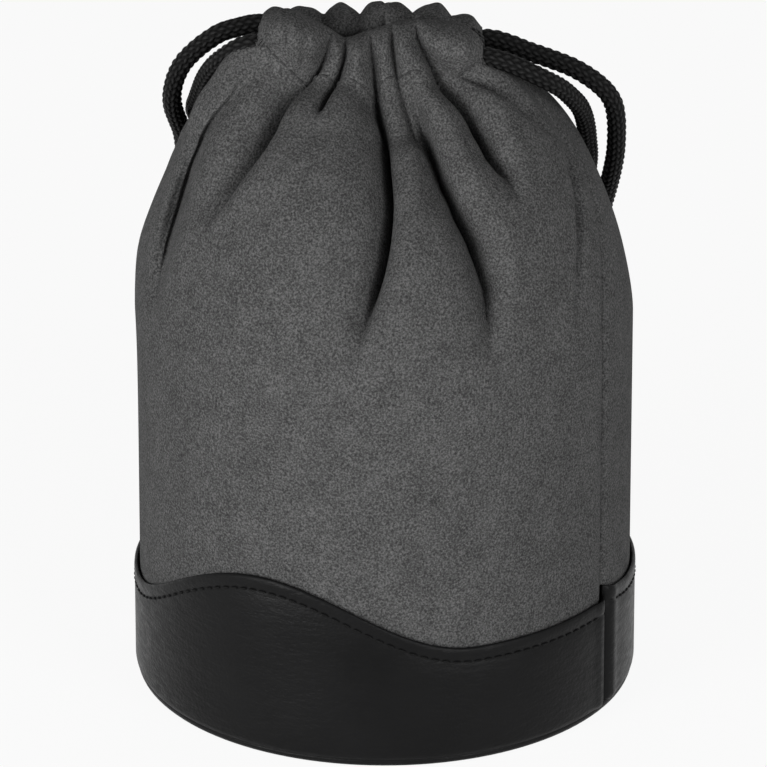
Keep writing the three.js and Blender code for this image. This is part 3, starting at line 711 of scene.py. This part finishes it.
def panel_surface(start_angle, side, pleats, creases, rim):
    foot_heights = np.linspace(SEWN_EDGE_MM, SHOULDER_MM, FOOT_ROWS)[:-1]
    heights = list(foot_heights) + list(shoulder_heights(SHOULDER_STEP_MM))
    shares = np.array([column_shares(pleats, height) for height in heights])
    points = list(body_surface(heights, shares, start_angle, side, pleats))
    top = points[-1]
    rim_shares = column_shares(pleats, RIM_MM)
    rim_heights = np.interp(rim_shares, *zip(*rim))
    rim_heights = np.convolve(np.pad(rim_heights, 3, mode="edge"), np.ones(7) / 7, mode="valid")
    turn_over = rim_heights - RIM_ROUND_MM
    rim_outer, rim_inner = tunnel_section(rim_shares, RIM_MM, pleats, creases)
    rows = []
    for share in np.linspace(0.0, 1.0, TUNNEL_ROWS + 1)[1:]:
        level = BODY_TOP_MM + share * (RIM_MM - BODY_TOP_MM)
        row_shares = column_shares(pleats, level)
        outer, _ = tunnel_section(row_shares, level, pleats, creases)
        height = top[:, 2] + (turn_over - top[:, 2]) * share
        rows.append((row_shares, outer, height, float(ease(share, 0.0, 0.6))))
    for angle in np.linspace(0.0, math.pi, TURN_ROWS + 1)[1:]:
        deep = rim_outer + (rim_inner - rim_outer) * (1.0 - math.cos(angle)) / 2
        rows.append((rim_shares, deep, turn_over + RIM_ROUND_MM * math.sin(angle), 1.0))
    for share in np.linspace(0.0, 1.0, INSIDE_ROWS + 1)[1:]:
        height = turn_over + (BODY_TOP_MM + 1.5 - turn_over) * share
        rows.append((rim_shares, rim_inner, height, 1.0))
    for row_shares, deep, height, apart in rows:
        along = in_tunnel(row_shares)
        aside = along - MOUTH_SHIFT_MM
        at_foot = 1.0 - ease(height, BODY_TOP_MM, CORDS_MIDDLE_MM)
        along = along - aside * FOOT_NARROWING * at_foot * (aside / MOUTH_HALF_LENGTH_MM) ** 2
        from_end = np.minimum(along - TUNNEL_LEFT_MM, TUNNEL_RIGHT_MM - along)
        pinch = np.sqrt(1.0 - (1.0 - np.clip(from_end / END_PINCH_MM, 0.0, 1.0)) ** 2)
        deep = CORD_DEEP_MM + (deep - CORD_DEEP_MM) * (PINCHED_SHARE + (1.0 - PINCHED_SHARE) * pinch)
        if side > 0:
            along = TUNNEL_LEFT_MM + TUNNEL_RIGHT_MM - along
        row = np.stack([along, side * deep, height], axis=1)
        points.append(top + (row - top) * np.array([apart, apart, 1.0]))
    points = np.array(points)

    # The turn from the shoulder into the tunnel is eased, as cloth can't fold sharply there.
    # The columns at the seams stay where they are sewn.
    sewn = points[:len(heights)].copy()
    from_turn = np.arange(len(points)) - len(heights)
    near = bell(from_turn, 0.0, EASED_ROWS)[1:-1, None, None]
    for _ in range(EASING_PASSES):
        middle = (points[:-2] + points[2:]) / 2
        points[1:-1] += 0.5 * near * (middle - points[1:-1])
    columns = np.arange(PANEL_COLUMNS + 1)
    from_side = np.minimum(columns, PANEL_COLUMNS - columns)
    at_seam = bell(from_side, 0.0, SEAM_COLUMNS)[None, :, None]
    points[:len(heights)] += at_seam * (sewn - points[:len(heights)])
    return points


def to_frame(points):
    turn = np.array([
        [math.cos(MOUTH_TURN), -math.sin(MOUTH_TURN), 0.0],
        [math.sin(MOUTH_TURN), math.cos(MOUTH_TURN), 0.0],
        [0.0, 0.0, 1.0],
    ])
    return (np.asarray(points, float) @ turn.T) * MM


suede = make_fibrous(
    "grey_suede", [(0.36, grey(0.030)), (0.5, grey(0.071)), (0.66, (0.138, 0.138, 0.137))],
    fine=2100.0, broad=160.0, share=0.12, roughness=0.95, bump=0.6, depth=0.0005,
)


def add_panel(name, start_angle, side, folds, replaced):
    surface = to_frame(panel_surface(start_angle, side, *folds))
    rows = surface.shape[0] - 1
    bm = grid_mesh(PANEL_COLUMNS, rows, lambda column, row: Vector(surface[row, column]))
    bmesh.ops.smooth_vert(
        bm, verts=[vert for vert in bm.verts if not vert.is_boundary], factor=0.3,
        use_axis_x=True, use_axis_y=True, use_axis_z=True,
    )
    bm.normal_update()
    foot = [face for face in bm.faces if face.calc_center_median().z < 0.05]
    outward = sum(face.normal.xy.dot(face.calc_center_median().xy) for face in foot)
    if outward < 0:
        bmesh.ops.reverse_faces(bm, faces=bm.faces)
    piece = finish_piece(name, bm, suede, "pouch", replaced)
    wall = piece.modifiers.new("cloth_wall", "SOLIDIFY")
    wall.thickness = SUEDE_WALL
    wall.offset = -1.0
    return piece, surface


front_panel, front_surface = add_panel(
    "suede_front", math.pi, -1, (FRONT_PLEATS, FRONT_CREASES, FRONT_RIM),
    ["body_front", "hem_front"],
)
back_panel, back_surface = add_panel(
    "suede_back", 0.0, 1, (BACK_PLEATS, BACK_CREASES, BACK_RIM),
    ["body_back", "hem_back"],
)

# Tunnel stitching. A row of grey thread along the foot of each tunnel holds the turned edge of the suede.
# It follows the gathered cloth into every pleat and stops short of the openings.
OPENING_CLEAR = 0.009
ROWS_ABOVE_TURN = 2
THREAD_PROUD = 0.00008

grey_thread = make_fibrous(
    "grey_thread", [(0.3, grey(0.030)), (0.7, grey(0.062))],
    fine=2500.0, broad=400.0, share=0.3, roughness=0.8, bump=0.3, depth=0.0001,
)


def tunnel_stitches(surface):
    row = surface.shape[0] - INSIDE_ROWS - TURN_ROWS - TUNNEL_ROWS + ROWS_ABOVE_TURN
    line = surface[row]
    along = np.gradient(line, axis=0)
    upwards = surface[row + 1] - surface[row - 1]
    travelled = way_along(line)
    sewn_length = travelled[-1] - 2 * OPENING_CLEAR
    count = int(sewn_length / STITCH_PITCH)
    bm = bmesh.new()
    for index in range(count):
        place = OPENING_CLEAR + (index + 0.5) * sewn_length / count
        column = int(np.searchsorted(travelled, place))
        outwards = Vector(np.cross(along[column], upwards[column])).normalized()
        add_stitch(bm, Vector(line[column]) + outwards * THREAD_PROUD, Vector(along[column]), outwards)
    return bm


for panel, surface in (("front", front_surface), ("back", back_surface)):
    finish_piece(f"tunnel_stitches_{panel}", tunnel_stitches(surface), grey_thread, "pouch")

# Drawcords. Two soft black braided cords. Each runs through both tunnels and crosses over at the far end.
# The left cord lies above the right one.
CORD_DIAMETER = 0.0050
BRAID_STRANDS = 12
BRAID_PITCH_MM = 12.6
BRAID_RELIEF = 0.0010
STRAND_HALF_WIDTH = 0.56
STRAND_ROUNDNESS = 0.50
STRAND_WEAVE = 0.36
TIP_MM = 1.8
TIP_SHARE = 0.35
CORD_SIDES = 72
CORD_STEP_MM = 0.3
TUNNEL_DEPTH_MM = 5.6
LEFT_CORD_MM = 161.1
RIGHT_CORD_MM = 155.7
CORD_SAG_MM = 2.2
CROSSING_BEND_MM = 3.6


def make_cord_finish():
    material, nodes, links, surface = new_material(
        "black_braid", {"Roughness": 0.55, "Specular IOR Level": 0.08},
    )
    place = nodes.new("ShaderNodeTexCoord").outputs["Object"]
    fibres = noise_node(nodes, links, place, 2600.0, 3.0)
    # The braid's raised level, kept on the mesh, sets the cord's colour. It paints shade, darkest deep in the
    # gaps between strands, and a highlight on the strand tops.
    raised = nodes.new("ShaderNodeAttribute")
    raised.attribute_name = "braid"
    tone = ramp_node(nodes, links, raised.outputs["Fac"], [
        (0.36, grey(0.0005)), (0.60, grey(0.0030)), (0.74, grey(0.0080)), (0.84, grey(0.0210)),
    ])
    links.new(tone, surface.inputs["Base Color"])
    links.new(bump_node(nodes, links, fibres, 0.6, 0.0002), surface.inputs["Normal"])
    return material


braid = make_cord_finish()


def between(start, end, low, high, value):
    return ((high - value) * start + (value - low) * end) / (high - low)


def smooth_route(points, step):
    """A smooth curve through the points, cut into even steps, and its length."""
    points = np.asarray(points, float)
    ends = np.concatenate([[2 * points[0] - points[1]], points, [2 * points[-1] - points[-2]]])
    knots = np.concatenate([[0.0], np.cumsum(np.sqrt(np.linalg.norm(np.diff(ends, axis=0), axis=1)))])
    line = []
    for k in range(1, len(ends) - 2):
        t0, t1, t2, t3 = knots[k - 1:k + 3]
        for t in np.linspace(t1, t2, 24, endpoint=False):
            before = between(ends[k - 1], ends[k], t0, t1, t)
            here = between(ends[k], ends[k + 1], t1, t2, t)
            after = between(ends[k + 1], ends[k + 2], t2, t3, t)
            arriving = between(before, here, t0, t2, t)
            leaving = between(here, after, t1, t3, t)
            line.append(between(arriving, leaving, t1, t2, t))
    line.append(points[-1])
    line = np.array(line)
    travelled = way_along(line)
    count = max(4, int(travelled[-1] / step))
    even = np.linspace(0.0, travelled[-1], count + 1)
    return np.stack([np.interp(even, travelled, line[:, k]) for k in range(3)], axis=1), travelled[-1]


def braid_height(around, along):
    about = BRAID_STRANDS * around / (2 * math.pi)
    onward = along * BRAID_STRANDS / (2 * BRAID_PITCH_MM)
    right = about + onward
    left = about - onward

    def strand(own, other, start):
        nearest = np.round(own)
        section = np.sqrt(np.maximum(0.0, 1.0 - ((own - nearest) / STRAND_HALF_WIDTH) ** 2))
        woven = np.cos(math.pi / 2 * (other + nearest + start))
        return STRAND_ROUNDNESS * section + STRAND_WEAVE * woven

    return np.maximum(strand(right, left, -0.5), strand(left, right, 1.5))


def braided_tube(bm, points, taper_end=False):
    line, length = smooth_route(points, CORD_STEP_MM)
    line = to_frame(line)
    tangents = np.gradient(line, axis=0)
    tangents /= np.linalg.norm(tangents, axis=1, keepdims=True)
    first = np.cross(tangents[0], (0.0, 0.0, 1.0))
    if np.linalg.norm(first) < 0.1:
        first = np.cross(tangents[0], (1.0, 0.0, 0.0))
    normals = [first / np.linalg.norm(first)]
    for tangent in tangents[1:]:
        carried = normals[-1] - tangent * np.dot(normals[-1], tangent)
        normals.append(carried / np.linalg.norm(carried))
    normals = np.array(normals)
    sideways = np.cross(tangents, normals)
    rows = len(line) - 1
    along = np.linspace(0.0, length, rows + 1)[:, None]
    around = np.linspace(0.0, 2 * math.pi, CORD_SIDES + 1)[None, :]
    around = np.where(around >= 2 * math.pi - 1e-9, 0.0, around)
    raised = np.clip(braid_height(around, along), 0.0, 1.0)
    radius = (CORD_DIAMETER / 2 - BRAID_RELIEF) + BRAID_RELIEF * raised
    if taper_end:
        rounded = np.sqrt(np.clip((length - along) / TIP_MM, 0.0, 1.0))
        radius = radius * (TIP_SHARE + (1.0 - TIP_SHARE) * rounded)
    surface = (
        line[:, None, :]
        + radius[:, :, None] * np.cos(around)[:, :, None] * normals[:, None, :]
        + radius[:, :, None] * np.sin(around)[:, :, None] * sideways[:, None, :]
    )
    tube = grid_mesh(CORD_SIDES, rows, lambda column, row: Vector(surface[row, column]))
    # The raised level is kept on the mesh for the colour, which paints shade into the gaps and highlights
    # onto the strand tops.
    shade_and_highlight_layer = tube.verts.layers.float.new("braid")
    tube.verts.ensure_lookup_table()
    for vert, level in zip(tube.verts, raised.ravel()):
        vert[shade_and_highlight_layer] = float(level)
    close_mesh(tube, apart=1e-7)
    part = bpy.data.meshes.new("cord_part")
    tube.to_mesh(part)
    tube.free()
    bm.from_mesh(part)
    bpy.data.meshes.remove(part)
    return line, length * MM


def add_run(name, start, turn, height, replaced):
    out = CROSSING_BEND_MM if turn > start else -CROSSING_BEND_MM
    deep = TUNNEL_DEPTH_MM
    half = [(start, -deep, height), ((start + turn) / 2, -deep, height), (turn, -deep, height)]
    for degrees in (30, 60, 90):
        bend = math.radians(degrees)
        inwards = CROSSING_BEND_MM * (1 - math.cos(bend))
        half.append((turn + out * math.sin(bend), -deep + inwards, height))
    other = [(along, -across, up) for along, across, up in reversed(half)]
    bm = bmesh.new()
    braided_tube(bm, half + other)
    finish_piece(name, bm, braid, "pouch", [replaced])


add_run("left_cord_in_tunnels", -7.7, 17.3, LEFT_CORD_MM - CORD_SAG_MM, "left_cord_run")
add_run("right_cord_in_tunnels", 1.7, -23.3, RIGHT_CORD_MM - CORD_SAG_MM, "right_cord_run")

# Cord knots. The two ends of each cord are tied together in a thick overhand knot, with two short loose ends
# that are melted round so that the braid doesn't fray.
KNOT_CENTRE = {"left": (-31.1, 58.0, 50.8), "right": (33.0, 57.1, 50.8)}
KNOT_WRAP_MM = 4.0
KNOT_TURNS = 2.1
KNOT_STEPS = 21
KNOT_TIP_MM = 27.6


def knot_mesh(centre):
    along, deep, height = centre
    wrap = [(along + 0.8, deep, height + 5.2)]
    for step in range(KNOT_STEPS + 1):
        share = step / KNOT_STEPS
        turn = 2 * math.pi * KNOT_TURNS * share
        wrap.append((
            along + KNOT_WRAP_MM * math.cos(turn), deep + KNOT_WRAP_MM * math.sin(turn),
            height + 4.6 - 9.2 * share,
        ))
    wrap += [(along + 1.6, deep + 1.2, height - 7.0), (along + 2.4, deep + 0.6, height - 11.0)]
    wrap += [(along + 2.9, deep + 0.2, height - 16.0), (along + 3.1, deep, KNOT_TIP_MM)]
    straight = [
        (along - 1.2, deep, height + 2.0), (along - 1.6, deep, height - 4.0),
        (along - 2.2, deep, height - 9.0), (along - 2.9, deep + 0.3, height - 15.0),
        (along - 3.3, deep + 0.4, KNOT_TIP_MM - 0.2),
    ]
    bm = bmesh.new()
    braided_tube(bm, wrap, taper_end=True)
    braided_tube(bm, straight, taper_end=True)
    return bm


for cord_side, centre in KNOT_CENTRE.items():
    finish_piece(
        f"{cord_side}_cord_knot", knot_mesh(centre), braid, f"{cord_side}_loop",
        [f"{cord_side}_knot"],
    )

# Cord strands. The two ends of each cord come out of the tunnels, arch over the shoulder and hang down
# the back to the knot.
STRANDS = {
    "left_front": [
        (-8, -5.6, 158.9), (-16, -6.2, 159.4), (-24, -7.4, 160.8), (-29, -7.4, 161.6), (-32.4, -7, 161),
        (-35, -6, 159.4), (-37.3, -4.3, 157.1), (-39.4, -1.5, 154.3), (-41, 2, 151), (-42.3, 6, 147.2),
        (-43.3, 10.4, 143), (-44.2, 15.4, 138.7), (-44.9, 20.8, 134.9), (-45, 26.8, 131),
        (-44.2, 33, 126.2), (-43.4, 38, 120.4), (-42.4, 42.6, 113.6), (-41, 46.6, 106),
        (-38.6, 49.8, 97.6), (-35.8, 53, 88.4), (-32.6, 55.8, 78.6), (-29.8, 58, 69.4),
        (-28.4, 59.2, 61.8), (-29, 58.9, 56.5), (-29.6, 58.6, 51),
    ],
    "left_back": [
        (-8, 5.6, 158.9), (-16, 6.2, 159.4), (-24, 7.4, 160.6), (-30.4, 7.4, 160.8), (-34.4, 7.4, 159.9),
        (-38.2, 7.6, 158.6), (-41.4, 8, 156.4), (-44.6, 8.6, 153.5), (-47.4, 9.5, 150), (-49.2, 10.9, 145.8),
        (-50.1, 13, 141), (-50, 15.7, 136.6), (-49.1, 19.2, 132), (-48.1, 22.8, 127.4), (-47.7, 26.6, 121.6),
        (-48, 30.8, 115.6), (-48.2, 35.6, 108.6), (-47.6, 40, 100.8), (-45.6, 43.6, 92), (-42.8, 47, 83),
        (-39.6, 50.4, 74), (-36.6, 53.6, 65.6), (-34.4, 55.6, 60.6), (-33.2, 56.7, 56), (-32.6, 57.3, 51),
    ],
    "right_front": [
        (2, -5.6, 153.5), (10, -6.2, 154.2), (17, -7.4, 156.6), (22, -7.4, 158.2), (27, -7.4, 157.4),
        (31.2, -7.2, 155.6), (35.1, -6.6, 153.4), (38.2, -5, 151.2), (41, -1.9, 148.4), (43.6, 2.2, 144.5),
        (45.6, 7, 140.4), (46.9, 12, 135.8), (47.7, 17, 130.6), (48.1, 21.4, 126), (48.5, 26, 121.2),
        (48.6, 30.4, 116.8), (48.3, 34.8, 111.8), (47.2, 40.2, 105), (44.4, 44.6, 97.2), (41, 48.8, 88.4),
        (37.2, 52.2, 79.4), (33.8, 55.4, 70.8), (31, 57.8, 63.4), (31.2, 58.1, 57.5), (31.6, 57.9, 51),
    ],
    "right_back": [
        (2, 5.6, 153.5), (10, 6.2, 154.2), (18, 7.4, 156.4), (24.6, 7.4, 157), (29, 7.4, 155.8),
        (33.4, 7.4, 154), (38.6, 7.6, 152), (43.8, 8, 149.7), (47.1, 8.4, 147.6), (50, 9.2, 145.1),
        (52.4, 10.5, 142.1), (53.9, 12.1, 138.6), (54.6, 14, 134.2), (54.8, 16.2, 129.4), (54.7, 19.2, 123.4),
        (54.1, 22.8, 117.4), (53.3, 27.2, 111.4), (52.2, 32, 104.6), (50.8, 36.2, 97), (49, 40, 88.6),
        (46, 44, 80), (42.4, 47.8, 72.4), (39, 51.4, 65.6), (36.6, 54, 60.6), (35, 55.4, 56), (34.4, 56, 51),
    ],
}
CORD_EXIT = {"left": (-30.0, LEFT_CORD_MM), "right": (24.0, RIGHT_CORD_MM)}
BEND_FROM = {"left": (-33.0, LEFT_CORD_MM), "right": (27.0, RIGHT_CORD_MM)}
BEND_TO = {"left": (-39.5, 156.0), "right": (33.5, 150.5)}


def strand_point(spots, cord_side, deep):
    along, height = spots[cord_side]
    return tuple(to_frame([along, deep, height]).tolist())


for strand_name, route in STRANDS.items():
    cord_side = strand_name.split("_")[0]
    strand_mesh = bmesh.new()
    strand_line, strand_length = braided_tube(strand_mesh, route)
    deep = route[0][1]
    strand = finish_piece(
        f"{strand_name}_cord", strand_mesh, braid, None,
        [f"{strand_name}_lead", f"{strand_name}_strand"],
    )
    strand_point(BEND_FROM, cord_side, deep)
    strand_point(BEND_TO, cord_side, deep)
    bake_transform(strand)
    strand_point(CORD_EXIT, cord_side, deep)

# Floor. A plain white sweep that takes only a faint shadow.
# Seen straight or as a reflection, it glows nearly white.
FLOOR_HALF = 5.0
FLOOR_DROP = 0.0002
FLOOR_GLOW_SHARE = 0.92


def white_rays(nodes, links):
    rays = nodes.new("ShaderNodeLightPath")
    shown = rays.outputs["Is Camera Ray"]
    for kind in ("Is Glossy Ray", "Is Transmission Ray"):
        either = nodes.new("ShaderNodeMath")
        either.operation = "MAXIMUM"
        links.new(shown, either.inputs[0])
        links.new(rays.outputs[kind], either.inputs[1])
        shown = either.outputs["Value"]
    return shown


floor_bm = bmesh.new()
bmesh.ops.create_grid(floor_bm, x_segments=2, y_segments=2, size=FLOOR_HALF)
bmesh.ops.translate(floor_bm, verts=floor_bm.verts, vec=(0.0, 0.0, -FLOOR_DROP))
floor_data = bpy.data.meshes.new("floor")
floor_bm.to_mesh(floor_data)
floor_bm.free()
floor_material, floor_nodes, floor_links, floor_surface = new_material(
    "white_sweep", {"Base Color": (0.93, 0.93, 0.93, 1.0), "Roughness": 0.9},
)
glow = set_sockets(floor_nodes.new("ShaderNodeEmission"), {"Strength": 1.0})
seen = floor_nodes.new("ShaderNodeMath")
seen.operation = "MULTIPLY"
seen.inputs[1].default_value = FLOOR_GLOW_SHARE
floor_links.new(white_rays(floor_nodes, floor_links), seen.inputs[0])
floor_mix = floor_nodes.new("ShaderNodeMixShader")
floor_links.new(seen.outputs["Value"], floor_mix.inputs["Fac"])
floor_links.new(floor_surface.outputs["BSDF"], floor_mix.inputs[1])
floor_links.new(glow.outputs["Emission"], floor_mix.inputs[2])
floor_links.new(floor_mix.outputs["Shader"], floor_nodes["Material Output"].inputs["Surface"])
floor_data.materials.append(floor_material)
floor = bpy.data.objects.new("floor", floor_data)
bpy.context.scene.collection.objects.link(floor)

# Light. A large soft box at the upper left of the view, a low strip beside it that gives the leather
# its sheen, a weaker box at the right, and an even pale room that is dark overhead.
ROOM_AT_WALLS = 0.72
ROOM_OVERHEAD = 0.06
LIGHT_AIM = Vector((0.0, 0.0, 0.09))

world = bpy.data.worlds.new("room")
world.use_nodes = True
world_nodes, world_links = world.node_tree.nodes, world.node_tree.links
room = world_nodes["Background"]
room.inputs["Color"].default_value = (1.0, 1.0, 1.0, 1.0)
heading = world_nodes.new("ShaderNodeSeparateXYZ")
world_links.new(world_nodes.new("ShaderNodeTexCoord").outputs["Generated"], heading.inputs["Vector"])
overhead = world_nodes.new("ShaderNodeMapRange")
set_sockets(overhead, {"From Max": 0.8, "To Min": ROOM_AT_WALLS, "To Max": ROOM_OVERHEAD})
world_links.new(heading.outputs["Z"], overhead.inputs["Value"])
world_links.new(overhead.outputs["Result"], room.inputs["Strength"])
white = set_sockets(world_nodes.new("ShaderNodeBackground"), {"Strength": 1.0})
shown = world_nodes.new("ShaderNodeMixShader")
world_links.new(white_rays(world_nodes, world_links), shown.inputs["Fac"])
world_links.new(room.outputs["Background"], shown.inputs[1])
world_links.new(white.outputs["Background"], shown.inputs[2])
world_links.new(shown.outputs["Shader"], world_nodes["World Output"].inputs["Surface"])
bpy.context.scene.world = world
bpy.context.scene.view_settings.view_transform = "Standard"


def soft_box(name, across, towards, height, size, power):
    lamp_data = bpy.data.lights.new(name, "AREA")
    lamp_data.shape = "RECTANGLE"
    lamp_data.size = size[0]
    lamp_data.size_y = size[1]
    lamp_data.energy = power
    lamp = bpy.data.objects.new(name, lamp_data)
    lamp.location = to_frame([across, -towards, height]) / MM
    lamp.rotation_euler = (LIGHT_AIM - lamp.location).to_track_quat("-Z", "Y").to_euler()
    bpy.context.scene.collection.objects.link(lamp)


soft_box("key_box", -0.95, 1.15, 0.40, (0.6, 0.6), 12.4)
soft_box("low_box", -1.15, 0.85, 0.14, (0.5, 0.24), 4.0)
soft_box("fill_box", 0.9, 1.2, 0.45, (0.6, 0.9), 11.0)
